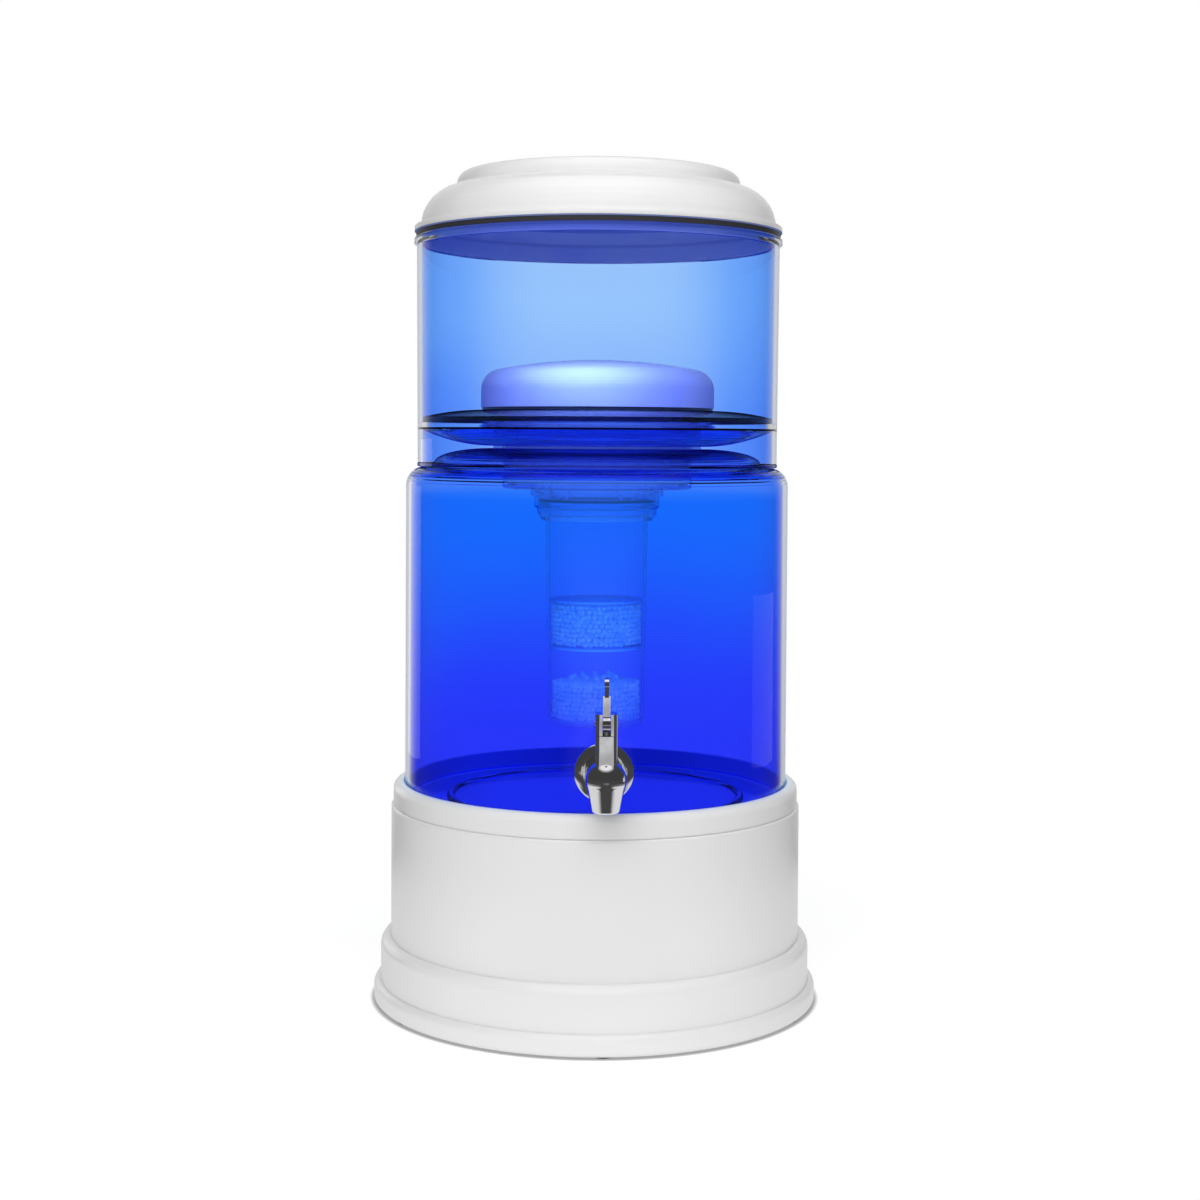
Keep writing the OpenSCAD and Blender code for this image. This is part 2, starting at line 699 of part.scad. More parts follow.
module tank_cover() color(tank_blue) translate([0, 0, cover_z]) turned(concat(
  [
    [flange_r - flange_bevel, 0], [flange_r, flange_bevel],
    [flange_r, cover_t - flange_bevel], [flange_r - flange_bevel, cover_t]
  ],
  ellipse_arc([cover_hole_r, cover_t], dome_foot_r - cover_hole_r, cover_rise, 0, 90, 12),
  ellipse_arc([cover_hole_r, cover_t], dome_foot_r - cover_hole_r - cover_t, cover_rise - cover_t, 90, 0, 12),
  [[dome_foot_r - cover_t, -spigot_h], [dome_foot_r, -spigot_h], [dome_foot_r, 0]]
));

// --- Upper tank ---

floor_steps = 10;
function floor_curve(drop) = [for (i = [0:floor_steps])
  let (r = floor_flat_r + (upper_in_r - floor_flat_r) * i / floor_steps) [r, floor_top(r) - drop]];

module upper_tank() color(tank_blue) turned(concat(
  [
    [upper_in_r, upper_z], [upper_r, upper_z],
    [upper_r + upper_draft, upper_top - bead_h - bead_out],
    [upper_r + upper_draft + bead_out, upper_top - bead_h],
    [upper_r + upper_draft + bead_out, upper_top - edge_round],
    [upper_r + upper_draft + bead_out - edge_round, upper_top],
    [rim_in_r, upper_top], [upper_inner(ledge_z), ledge_z],
    [upper_inner(ledge_z) - ledge_w, ledge_z],
    [upper_inner(ledge_z) - ledge_w, floor_top(upper_in_r - ledge_w)]
  ],
  [for (p = reversed(floor_curve(0))) if (p[0] < upper_in_r - ledge_w - edge_round) p],
  [[holder_hole_r, floor_z], [holder_hole_r, floor_z - upper_floor_t]],
  floor_curve(upper_floor_t)
));

// --- Filter holder ---

thread_points = [for (i = [0:thread_turns - 1]) let (z = thread_z + i * thread_pitch)
  each [
    [thread_root_r, z + thread_flat], [thread_d / 2, z + thread_pitch / 2],
    [thread_root_r, z + thread_pitch - thread_flat]
  ]];

module filter_holder() color(clear_blue) turned(concat(
  [[tube_hole_r, socket_low_z - cone_h], [cone_low_r, socket_low_z - cone_h]],
  [
    [socket_low_r, socket_low_z], [socket_low_r, socket_seat_z - holder_wall],
    [socket_in_r + holder_wall, socket_seat_z - holder_wall + bevel],
    [socket_in_r + holder_wall, socket_seat_z + socket_mid_h],
    [socket_in_r + 2 * holder_wall, socket_seat_z + socket_mid_h],
    [socket_in_r + 2 * holder_wall, cup_z]
  ],
  arc([cup_r - cup_round, cup_z + cup_round], cup_round, -90, 0, 4),
  [[cup_r, shoulder_z], [neck_r, shoulder_z], [neck_r, thread_z]],
  thread_points,
  [
    [thread_root_r, holder_top], [thread_root_r - holder_wall, holder_top],
    [thread_root_r - holder_wall, thread_z + holder_wall], [neck_r - holder_wall, thread_z + holder_wall],
    [neck_r - holder_wall, shoulder_z + 2 * holder_wall], [cup_r - holder_wall, shoulder_z + holder_wall],
    [cup_r - holder_wall, cup_z + holder_wall], [socket_in_r + holder_wall, cup_z + holder_wall],
    [socket_in_r + holder_wall, socket_seat_z + socket_mid_h + holder_wall],
    [socket_in_r, socket_seat_z + socket_mid_h + holder_wall],
    [socket_in_r, socket_seat_z], [tube_hole_r, socket_seat_z]
  ]
));

module holder_gasket() color("gainsboro") translate([0, 0, floor_z]) difference() {
  cylinder(h = gasket_t, r = neck_r - holder_fit);
  translate([0, 0, -1]) cylinder(h = gasket_t + 2, r = cup_r + set_fit);
}

// Nut that clamps the holder to the upper tank's floor, with finger notches
module holder_nut() color(clear_blue) translate([0, 0, floor_z - upper_floor_t - nut_h]) difference() {
  cylinder(h = nut_h, r = neck_r);
  translate([0, 0, -1]) cylinder(h = nut_h + 2, r = cup_r + set_fit);
  for (i = [0:notch_count - 1]) rotate(360 * i / notch_count)
    translate([neck_r + notch_r / 2, 0, -1]) cylinder(h = nut_h + 1 - notch_roof, r = notch_r);
}

// --- Tray and pre-filter ---

module prefilter_tray() color(tank_blue) turned(concat(
  [[tray_hole_d / 2, tray_z]],
  arc([tray_seat_r, tray_z - tray_curve_r], tray_curve_r, 90, 90 - tray_curve_angle),
  arc([tray_seat_r, tray_top - tray_curve_r], tray_curve_r, 90 - tray_curve_angle, 90),
  [[tray_hole_d / 2, tray_top]]
));

module prefilter_seal() color("dimgray") translate([0, 0, dome_z]) difference() {
  cylinder(h = dome_seal_t, r = dome_r - edge_round);
  translate([0, 0, -1]) cylinder(h = dome_seal_t + 2, r = dome_r - dome_wall);
}

// Outline of the dome's outside or, set in by a wall, of its inside
function dome_edge(inset) = let (round_r = max(bevel, dome_round - inset), side = dome_r - inset,
    low = dome_z + dome_seal_t, corner_z = low + dome_side_h - dome_seal_t,
    edge_r = side - round_r + round_r * sin(crown_angle),
    crown_r = edge_r / sin(crown_angle), edge_z = corner_z + round_r * cos(crown_angle))
  concat([[side, low]], arc([side - round_r, corner_z], round_r, 0, 90 - crown_angle),
    [for (i = [1:arc_steps]) let (a = crown_angle * (1 - i / arc_steps))
      [crown_r * sin(a), edge_z + crown_r * (cos(a) - cos(crown_angle))]]);

module prefilter_dome() color("white") turned(concat(dome_edge(0), reversed(dome_edge(dome_wall))));

// --- Cartridge ---

module cartridge_crown() color(clear_blue) difference() {
  turned([
    [tube_r + set_fit, crown_z - crown_spigot_h], [spigot_r, crown_z - crown_spigot_h],
    [spigot_r, crown_z], [crown_r - edge_round, crown_z], [crown_r, crown_z + edge_round],
    [crown_r, crown_z + crown_h - edge_round], [crown_r - edge_round, crown_z + crown_h],
    [crown_r - crown_wall, crown_z + crown_h], [crown_r - crown_wall, crown_z + crown_solid_h],
    [tube_r - tube_wall, crown_z + crown_solid_h], [tube_r - tube_wall, tube_top + set_fit],
    [tube_r + set_fit, tube_top + set_fit]
  ]);
  translate([0, 0, crown_z + seal_rise]) rotate_extrude()
    translate([crown_r - seal_wire / 2 + seal_proud, 0]) circle(seal_wire / 2 + set_fit, $fn = 24);
  for (i = [0:window_count - 1]) rotate(window_angle + 360 * i / window_count)
    translate([crown_r, 0, crown_z + crown_solid_h + window_rise]) rotate([90, 0, 90]) {
      cylinder(h = 3 * crown_wall, d = window_w, center = true);
      translate([-window_w / 2, 0, -1.5 * crown_wall]) cube([window_w, crown_h, 3 * crown_wall]);
    }
}

module cartridge_seal() color("black") translate([0, 0, crown_z + seal_rise]) rotate_extrude()
  translate([crown_r - seal_wire / 2 + seal_proud, 0]) circle(seal_wire / 2, $fn = 24);

module cartridge_tube() color(clear_blue) turned([
  [tube_low_r - tube_wall, tube_z + foot_flange_t], [tube_low_r, tube_z + foot_flange_t],
  [tube_r, crown_z], [tube_r, tube_top], [tube_r - tube_wall, tube_top], [tube_r - tube_wall, crown_z]
]);

// Foot plug with outlet holes
module cartridge_foot() color(clear_blue) difference() {
  turned([
    [0, tube_z], [tube_low_r - edge_round, tube_z], [tube_low_r, tube_z + edge_round],
    [tube_low_r, tube_z + foot_flange_t],
    [tube_low_r - tube_wall - set_fit, tube_z + foot_flange_t],
    [tube_low_r - tube_wall - set_fit, lower_bed_z], [plug_in_r, lower_bed_z],
    [plug_in_r, tube_z + foot_flange_t], [0, tube_z + foot_flange_t]
  ]);
  screen_holes(tube_z - 1, foot_flange_t + 2);
}

// Three rings of round holes
module screen_holes(z, h) {
  for (ring = [1:3], i = [0:6 * ring - 1]) rotate(60 * i / ring)
    translate([hole_ring_step * ring, 0, z]) cylinder(h = h, r = outlet_hole_r, $fn = 24);
}

module screen(z) difference() {
  translate([0, 0, z]) cylinder(h = screen_t, r = tube_inner(z) - media_gap);
  screen_holes(z - 1, screen_t + 2);
}

module media(z, h) turned([
  [0, z], [tube_inner(z) - media_gap, z], [tube_inner(z) - media_gap, z + h - media_slump],
  [tube_inner(z) - media_gap - media_slump, z + h - media_slump / 4], [0, z + h]
]);

module upper_screen() color("lightblue") screen(upper_screen_z);
module upper_media() color("steelblue") media(upper_bed_z, upper_bed_h);
module middle_screen() color("lightblue") screen(middle_screen_z);
// The lower bed also fills the foot plug
module lower_media() color("steelblue") {
  media(lower_bed_z, lower_bed_h);
  translate([0, 0, tube_z + foot_flange_t]) cylinder(h = plug_h + 1, r = plug_in_r - media_gap);
}

module loose_beads() color("lightskyblue") for (i = [0:bead_count - 1]) rotate(360 * i / bead_count)
  translate([bead_ring_r + bead_spread * (i * 5 % bead_count) / bead_count, 0, bead_z])
    sphere(d = bead_d, $fn = 32);

// --- Lid ---

module lid() color(shell_white) {
  low = lid_z + lid_flange_h;
  shoulder_centre = [lid_body_r - lid_shoulder_r, low];
  tier_angle = acos((tier_r - shoulder_centre[0]) / lid_shoulder_r);
  tier_foot_z = low + lid_shoulder_r * sin(tier_angle);
  turned(concat(
    [[lid_r - edge_round, lid_z], [lid_r, lid_z + edge_round]],
    arc([lid_r - edge_round, low - edge_round], edge_round, 0, 90, 4),
    arc(shoulder_centre, lid_shoulder_r, 0, tier_angle),
    arc([tier_r - tier_round, lid_top_z - tier_round], tier_round, 0, 90),
    [
      [0, lid_top_z + lid_crown], [0, lid_top_z + lid_crown - lid_wall],
      [tier_r - tier_round, lid_top_z - lid_wall]
    ],
    arc([tier_r - tier_round, lid_top_z - tier_round], tier_round - lid_wall, 90, 0, 5),
    [[tier_r - lid_wall, tier_foot_z - lid_wall]],
    arc(shoulder_centre, lid_shoulder_r - lid_wall, tier_angle, 0),
    [
      [lid_ring_r - lid_wall, lid_z + lid_wall], [lid_ring_r - lid_wall, upper_top - lid_ring_h],
      [lid_ring_r, upper_top - lid_ring_h], [lid_ring_r, lid_z]
    ]
  ));
}

module lid_gasket() color("black") translate([0, 0, upper_top + lift_gap]) difference() {
  cylinder(h = lid_gasket_t, r = lid_r - bevel);
  translate([0, 0, -1]) cylinder(h = lid_gasket_t + 2, r = lid_ring_r + set_fit);
}

base_stand();
base_feet();
seat_ring();
lower_tank();
tap_body();
tap_escutcheon();
tap_outer_washer();
tap_inner_washer();
tap_nut();
tap_bonnet();
lever_pin();
tap_lever();
valve_stem();
valve_seal();
valve_spring();
stem_seal();
tank_cover();
upper_tank();
filter_holder();
holder_gasket();
holder_nut();
prefilter_tray();
prefilter_seal();
prefilter_dome();
cartridge_crown();
cartridge_seal();
cartridge_tube();
cartridge_foot();
upper_screen();
upper_media();
middle_screen();
loose_beads();
lower_media();
lid();
lid_gasket();
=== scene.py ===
from math import cos, pi, radians, sin

import bmesh
import bpy
import numpy as np
from mathutils import Matrix, Vector


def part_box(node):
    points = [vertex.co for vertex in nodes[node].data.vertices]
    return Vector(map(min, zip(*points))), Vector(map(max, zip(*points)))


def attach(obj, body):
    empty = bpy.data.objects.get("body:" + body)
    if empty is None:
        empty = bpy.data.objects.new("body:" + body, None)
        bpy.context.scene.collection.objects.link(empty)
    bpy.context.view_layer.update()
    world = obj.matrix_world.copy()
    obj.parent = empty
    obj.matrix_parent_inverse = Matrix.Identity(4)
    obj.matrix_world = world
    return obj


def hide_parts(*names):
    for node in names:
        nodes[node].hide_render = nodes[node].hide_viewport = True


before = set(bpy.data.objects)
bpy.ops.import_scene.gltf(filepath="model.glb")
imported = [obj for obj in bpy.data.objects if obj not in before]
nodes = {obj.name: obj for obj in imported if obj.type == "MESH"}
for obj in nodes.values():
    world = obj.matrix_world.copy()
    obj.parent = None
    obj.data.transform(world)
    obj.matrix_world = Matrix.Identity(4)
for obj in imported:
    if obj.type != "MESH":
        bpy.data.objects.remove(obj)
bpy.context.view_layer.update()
scene = bpy.context.scene

# ---------------------------------------------------------------- camera
LENS = 58.95
SENSOR = 36
CAMERA_DISTANCE = 1.2509
CAMERA_HEIGHT = 0.3544
CAMERA_TURN = radians(2.3)
CAMERA_TILT = radians(1.5)
CAMERA_ROLL = radians(0.34)
SHIFT_X = 0.00251
SHIFT_Y = -0.09233


def make_camera():
    """The camera is as high as the upper tank, a little to the left of the tap, and looks slightly down."""
    data = bpy.data.cameras.new("camera")
    data.lens = LENS
    data.sensor_width = SENSOR
    data.shift_x = SHIFT_X
    data.shift_y = SHIFT_Y
    camera = bpy.data.objects.new("camera", data)
    scene.collection.objects.link(camera)
    place = Vector((-sin(CAMERA_TURN), -cos(CAMERA_TURN), 0)) * CAMERA_DISTANCE
    place.z = CAMERA_HEIGHT
    turn = Matrix.Rotation(-CAMERA_TURN, 4, "Z") @ Matrix.Rotation(pi / 2 - CAMERA_TILT, 4, "X")
    camera.matrix_world = Matrix.Translation(place) @ turn @ Matrix.Rotation(CAMERA_ROLL, 4, "Z")
    scene.camera = camera


# ---------------------------------------------------------------- node helpers
class Graph:
    """Builds the nodes of one material or world."""

    def __init__(self, owner):
        owner.use_nodes = True
        self.tree = owner.node_tree
        self.tree.nodes.clear()

    def node(self, kind, inputs=None, **settings):
        """A node whose inputs are set from values or linked from sockets."""
        made = self.tree.nodes.new(kind)
        for key, value in settings.items():
            setattr(made, key, value)
        for key, value in (inputs or {}).items():
            self.feed(made.inputs[key], value)
        return made

    def feed(self, socket, value):
        """Links a socket or a node's first output, or sets a plain value."""
        if isinstance(value, bpy.types.NodeSocket):
            self.tree.links.new(value, socket)
        elif isinstance(value, bpy.types.Node):
            self.tree.links.new(value.outputs[0], socket)
        elif socket.type == "RGBA" and len(value) == 3:
            socket.default_value = (*value, 1)
        else:
            socket.default_value = value

    def math(self, operation, a, b=0.0, clamp=False):
        return self.node("ShaderNodeMath", {0: a, 1: b}, operation=operation, use_clamp=clamp).outputs[0]

    def product(self, a, b):
        return self.math("MULTIPLY", a, b)

    def larger(self, a, b):
        return self.math("MAXIMUM", a, b)

    def length(self, vector):
        return self.node("ShaderNodeVectorMath", {0: vector}, operation="LENGTH").outputs["Value"]

    def mix(self, factor, a, b):
        """A colour between a and b."""
        made = self.node("ShaderNodeMix", data_type="RGBA")
        self.feed(made.inputs["Factor"], factor)
        self.feed(made.inputs[6], a)
        self.feed(made.inputs[7], b)
        return made.outputs[2]

    def blend(self, factor, a, b):
        """A shader between a and b."""
        return self.node("ShaderNodeMixShader", {0: factor, 1: a, 2: b})

    def span(self, value, low, high, to_low=0.0, to_high=1.0):
        """Value taken softly from one range to another, and held at its ends."""
        made = self.node("ShaderNodeMapRange", {0: value, 1: low, 2: high, 3: to_low, 4: to_high})
        made.interpolation_type = "SMOOTHSTEP"
        return made.outputs[0]

    def place(self):
        """The point's place on its piece at rest, in metres."""
        return self.node("ShaderNodeTexCoord").outputs["Object"]

    def height(self):
        return self.split(self.place())[2]

    def from_axis(self):
        """The distance from the tanks' axis."""
        x, y, _ = self.split(self.place())
        return self.length(self.node("ShaderNodeCombineXYZ", {0: x, 1: y}))

    def normal_z(self):
        """How far the surface looks up."""
        return self.split(self.node("ShaderNodeNewGeometry").outputs["Normal"])[2]

    def facing(self):
        """0 where a surface is seen straight on, 1 where it is seen along its face."""
        return self.node("ShaderNodeLayerWeight", {"Blend": 0.5}).outputs["Facing"]

    def path(self):
        return self.node("ShaderNodeLightPath").outputs

    def split(self, vector):
        return self.node("ShaderNodeSeparateXYZ", {0: vector}).outputs

    def grey(self, value):
        return self.node("ShaderNodeCombineColor", {0: value, 1: value, 2: value}).outputs[0]

    def noise(self, scale, detail=3.0, roughness=0.5, stretch=(1, 1, 1)):
        point = self.node("ShaderNodeMapping", {"Vector": self.place(), "Scale": stretch})
        made = self.node("ShaderNodeTexNoise", {"Vector": point, "Scale": scale, "Detail": detail})
        made.inputs["Roughness"].default_value = roughness
        return made.outputs[0]

    def bump(self, height, strength, distance):
        made = self.node("ShaderNodeBump", {"Height": height})
        made.inputs["Strength"].default_value = strength
        made.inputs["Distance"].default_value = distance
        return made.outputs[0]

    def principled(self, **inputs):
        """A Principled shader; an underscore in a name stands for a space."""
        made = self.node("ShaderNodeBsdfPrincipled")
        for key, value in inputs.items():
            self.feed(made.inputs[key.replace("_", " ")], value)
        return made

    def glow(self, colour):
        return self.node("ShaderNodeEmission", {"Color": colour})

    def glass(self, tint, roughness, ior, clear, normal):
        made = self.principled(Base_Color=tint, Roughness=roughness, IOR=ior, Normal=normal)
        made.inputs["Transmission Weight"].default_value = clear
        return made

    def output(self, shader, kind="ShaderNodeOutputMaterial"):
        return self.node(kind, {"Surface": shader})


def material(name):
    made = bpy.data.materials.new(name)
    return made, Graph(made)


# ---------------------------------------------------------------- clear materials
WHITE = (1, 1, 1)
TANK_IOR = 1.22
EDGE_SPAN = 0.7, 0.97  # facing at which a wall seen on edge turns to its edge colour
SHADE_WAVER = 0.08  # how far the height of the painted shade towards the foot wavers
FLAT_NORMAL = 0.8  # faces that look up or down more than this are a tank's floor and ledges
TANK_DARK_START = 0.88  # facing from which such a face turns dark
PART_DARK_START = 0.78
DARK_END = 0.96
PLATE_BLUE = (0.1, 0.16, 0.7)
SHOULDER_DOWN = 0.0157  # the shoulder's start below the tank's top edge
RIM_DOWN = 0.0012  # the top edge itself carries no blue
SHOULDER_BLEND = 0.004
GAP_SHADE_RISE = 0.0013  # how far the painted shade of the gap round the lower tank's foot shows above the stand
GAP_SHADE_BLEND = 0.002
GAP_SHADE_BLUE = (0.3, 0.25, 0.6)
PART_LAMP_TINT = (0.88, 0.94, 1.0)
PART_SOFT_TINT = (0.7, 0.82, 1.0)
SHADE_ABOVE_BLEND = 0.002
RIM_BLEND = 0.003


def let_light_in(g, surface, lamp_tint, soft_tint):
    """Lamps and the room's soft light pass a clear wall straight, tinted, and so reach what is inside."""
    path = g.path()
    tint = g.mix(path["Is Diffuse Ray"], lamp_tint, soft_tint)
    through = g.node("ShaderNodeBsdfTransparent", {"Color": tint})
    return g.blend(g.larger(path["Is Shadow Ray"], path["Is Diffuse Ray"]), surface, through)


def dark_on_edge(g, shader, facing, tint, start):
    """A plate that is seen almost along its face lets little through, and only deep blue."""
    dim = g.node("ShaderNodeBsdfTransparent", {"Color": tint})
    return g.blend(g.span(facing, start, DARK_END), shader, dim)


def clear_tank(
    name, box, top_blue, low_blue, rise, wall_in, floor_in, edge_blue, lamp_tint, soft_tint, deepen,
    deepen_span, shoulder_highlight=None, gap_shade_above=None
):
    """A tank's clear wall, which carries its blue on its inner faces.

    top_blue and low_blue are what two walls let through at the top and at the foot; the deeper blue towards
    the foot is painted shade, the light from behind falling off. rise is where one turns into the other,
    above the tank's foot. wall_in and floor_in lead from the tank's outside into its wall and floor, and a
    floor_in below 0 leaves both faces of the floor blue. deepen is how much bluer a wall is at a slant.
    shoulder_highlight is the paler blue of the shoulder, a painted highlight, and gap_shade_above is the
    height of the stand, a little above which the outer face turns dark blue, a painted shade of the gap round
    the foot.
    """
    low, high = box
    made, g = material(name)
    z = g.height()
    # The blue deepens towards the tank's foot, with a wavering height: painted shade, the light from behind
    # falling off.
    shade_level = g.math("ADD", z, g.product(g.math("SUBTRACT", g.noise(7, 1), 0.5), SHADE_WAVER))
    shade_level = g.span(shade_level, low[2] + rise[0], low[2] + rise[1])
    straight = g.mix(shade_level, low_blue, top_blue)
    slant = g.mix(shade_level, *(tuple(c**deepen for c in tint) for tint in (low_blue, top_blue)))
    facing = g.facing()
    blue = g.mix(g.span(facing, *deepen_span), straight, slant)
    edge = g.mix(g.span(facing, *EDGE_SPAN), WHITE, edge_blue)
    radius = g.from_axis()
    wall_r = high[0] - wall_in
    inside = g.product(g.math("LESS_THAN", radius, wall_r), g.math("GREATER_THAN", z, low[2] + floor_in))
    # The shoulder's paler blue is a painted highlight.
    if shoulder_highlight:
        shoulder = high[2] - SHOULDER_DOWN
        blue = g.mix(g.span(z, shoulder - SHOULDER_BLEND, shoulder + SHOULDER_BLEND), blue, shoulder_highlight)
        inside = g.product(inside, g.math("LESS_THAN", z, high[2] - RIM_DOWN))
    # The outer face just above the stand turns dark blue: a painted shade of the gap round the tank's foot.
    if gap_shade_above:
        top = gap_shade_above + GAP_SHADE_RISE
        gap = g.product(g.span(z, top - GAP_SHADE_BLEND, top, 1.0, 0.0), g.math("GREATER_THAN", radius, wall_r))
        edge = g.mix(gap, edge, GAP_SHADE_BLUE)
    tint = g.mix(inside, edge, blue)
    waves = g.bump(g.noise(9, 1, stretch=(1, 1, 0.25)), 0.04, 0.002)
    shader = g.glass(tint, 0.015, TANK_IOR, 1.0, waves)
    flat = g.math("GREATER_THAN", g.math("ABSOLUTE", g.normal_z()), FLAT_NORMAL)
    shader = dark_on_edge(g, shader, g.product(facing, flat), PLATE_BLUE, TANK_DARK_START)
    g.output(let_light_in(g, shader, lamp_tint, soft_tint))
    return made


def clear_part(name, tint, ior, on_edge=WHITE, absorbed=None, density=0.0, haze=0.0, above=None, rim=None):
    """A clear moulded part with a tint on every face.

    on_edge is its colour where it is seen on edge, absorbed and density are the colour inside it, and haze
    is the share that isn't clear. above is a height and the darker tint from there up, a painted shade, and
    rim is a radius and the tint outside it.
    """
    made, g = material(name)
    if above:
        height, shade_tint = above
        tint = g.mix(g.span(g.height(), height - SHADE_ABOVE_BLEND, height + SHADE_ABOVE_BLEND), tint, shade_tint)
    if rim:
        radius, rim_tint = rim
        tint = g.mix(g.span(g.from_axis(), radius - RIM_BLEND, radius), tint, rim_tint)
    waves = g.bump(g.noise(25, 0), 0.01, 0.0004)
    shader = g.glass(tint, 0.03, ior, 1 - haze, waves)
    shader = dark_on_edge(g, shader, g.facing(), on_edge, PART_DARK_START)
    end = g.output(let_light_in(g, shader, PART_LAMP_TINT, PART_SOFT_TINT))
    if absorbed:
        depth = g.node("ShaderNodeVolumeAbsorption")
        depth.inputs["Color"].default_value = (*absorbed, 1)
        depth.inputs["Density"].default_value = density
        g.feed(end.inputs["Volume"], depth)
    return made


# ---------------------------------------------------------------- other materials
GRAIN_DEPTH = 0.0002
COAT_ROUGHNESS = 0.08
SHADED_UNDERSIDE = -0.2, -0.7  # how far down a surface looks where the painted shade of an underside starts and ends
BEAD_CELLS = 300
BEAD_GLOW = 0.4
BEAD_CLEAR = 0.7


def moulded(name, colour, roughness, grain=350, grain_bump=0.01, coat=0.0, soft_edge=0.0, below=None):
    """A moulded or cast surface with a fine grain and a little unevenness in colour and gloss.

    soft_edge is the radius over which edges are shaded round; below is a matt colour painted on an underside
    as its shade.
    """
    made, g = material(name)
    darker = tuple(c * 0.99 for c in colour)
    base = g.mix(g.span(g.noise(14, 2), 0.3, 0.7), darker, colour)
    gloss = g.span(g.noise(30, 2), 0.3, 0.7, roughness * 0.9, roughness * 1.1)
    fine = g.bump(g.noise(grain, 1), grain_bump, GRAIN_DEPTH)
    if soft_edge:
        rounded = g.node("ShaderNodeBevel", samples=6)
        rounded.inputs["Radius"].default_value = soft_edge
        g.feed(fine.node.inputs["Normal"], rounded)
    surface = g.principled(Base_Color=base, Roughness=gloss, Normal=fine, IOR=1.5)
    surface.inputs["Coat Weight"].default_value = coat
    surface.inputs["Coat Roughness"].default_value = COAT_ROUGHNESS
    # An underside turns to a matt colour: painted shade.
    if below:
        underside_shade = g.node("ShaderNodeBsdfDiffuse", {"Color": below})
        surface = g.blend(g.span(g.normal_z(), *SHADED_UNDERSIDE), surface, underside_shade)
    g.output(surface)
    return made


def glassy_beads(name, pale, deep):
    """Milky mineral beads, each of its own shade, that let some light through."""
    made, g = material(name)
    cells = g.node("ShaderNodeTexVoronoi", {"Vector": g.place(), "Scale": BEAD_CELLS})
    shade = g.mix(g.span(g.split(cells.outputs["Color"])[0], 0.2, 0.8), deep, pale)
    fine = g.bump(g.noise(900, 1), 0.05, GRAIN_DEPTH)
    shader = g.principled(Base_Color=shade, Roughness=0.4, Normal=fine, IOR=1.4)
    glow = g.node("ShaderNodeBsdfTranslucent", {"Color": shade, "Normal": fine})
    clear = g.node("ShaderNodeBsdfTransparent", {"Color": shade})
    g.output(g.blend(BEAD_CLEAR, g.blend(BEAD_GLOW, shader, glow), clear))
    return made


def metal(name, colour, roughness, brushed=False):
    """A polished or brushed metal with faint scratches."""
    made, g = material(name)
    scratches = g.noise(260, 4, 0.6, (1, 1, 30) if brushed else (1, 1, 1))
    gloss = g.span(scratches, 0.35, 0.75, roughness, roughness * 1.8 + 0.01)
    fine = g.bump(scratches, 0.03 if brushed else 0.01, GRAIN_DEPTH)
    g.output(g.principled(Base_Color=colour, Metallic=1.0, Roughness=gloss, Normal=fine))
    return made


# ---------------------------------------------------------------- the filter's surfaces
HOLDER_STEP_UP = 0.0339
TRAY_RIM_WIDTH = 0.0068
stand_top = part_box("seat_ring")[1][2]
holder_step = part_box("filter_holder")[0][2] + HOLDER_STEP_UP
tray_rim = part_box("prefilter_tray")[1][0] - TRAY_RIM_WIDTH

upper_blue = clear_tank(
    "upper_blue",
    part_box("upper_tank"),
    top_blue=(0.32, 0.57, 1.0),
    low_blue=(0.24, 0.46, 1.0),
    rise=(0.0214, 0.1014),
    wall_in=0.0036,
    floor_in=-0.001,
    edge_blue=(0.25, 0.45, 1.0),
    lamp_tint=(0.99, 0.995, 1.0),
    soft_tint=(0.15, 0.25, 1.0),
    deepen=1.8,
    deepen_span=(0.0, 0.38),
)
lower_blue = clear_tank(
    "lower_blue",
    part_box("lower_tank"),
    top_blue=(0.007, 0.15, 1.0),
    low_blue=(0.02, 0.038, 0.98),
    rise=(0.0358, 0.2058),
    wall_in=0.0015,
    floor_in=0.0013,
    edge_blue=(0.25, 0.4, 1.0),
    lamp_tint=(0.8, 0.96, 1.0),
    soft_tint=(0.75, 0.95, 1.0),
    deepen=1.0,
    deepen_span=(0.2, 0.34),
    shoulder_highlight=(0.06, 0.22, 1.0),
    gap_shade_above=stand_top,
)
deep = dict(absorbed=(0.08, 0.2, 0.8), density=80)
cover_blue = clear_part("cover_blue", (0.55, 0.6, 0.96), 1.3, on_edge=(0.15, 0.18, 0.6), **deep)
dark_rim = tray_rim, (0.02, 0.03, 0.2)
tray_blue = clear_part("tray_blue", (0.6, 0.66, 0.97), 1.3, on_edge=(0.03, 0.04, 0.15), rim=dark_rim, **deep)
# The holder turns darker above its step: a painted shade under the tray and dome.
holder_blue = clear_part(
    "holder_blue", (0.9, 0.94, 1.0), 1.15, on_edge=(0.6, 0.7, 0.9), absorbed=(0.3, 0.5, 0.95), density=30,
    haze=0.14, above=(holder_step, (0.5, 0.5, 0.82))
)
clear_blue = clear_part("clear_blue", (0.88, 0.9, 0.99), 1.12, haze=0.04)

stand_white = moulded("stand_white", (0.85, 0.85, 0.85), 0.36, coat=0.5, soft_edge=0.002)
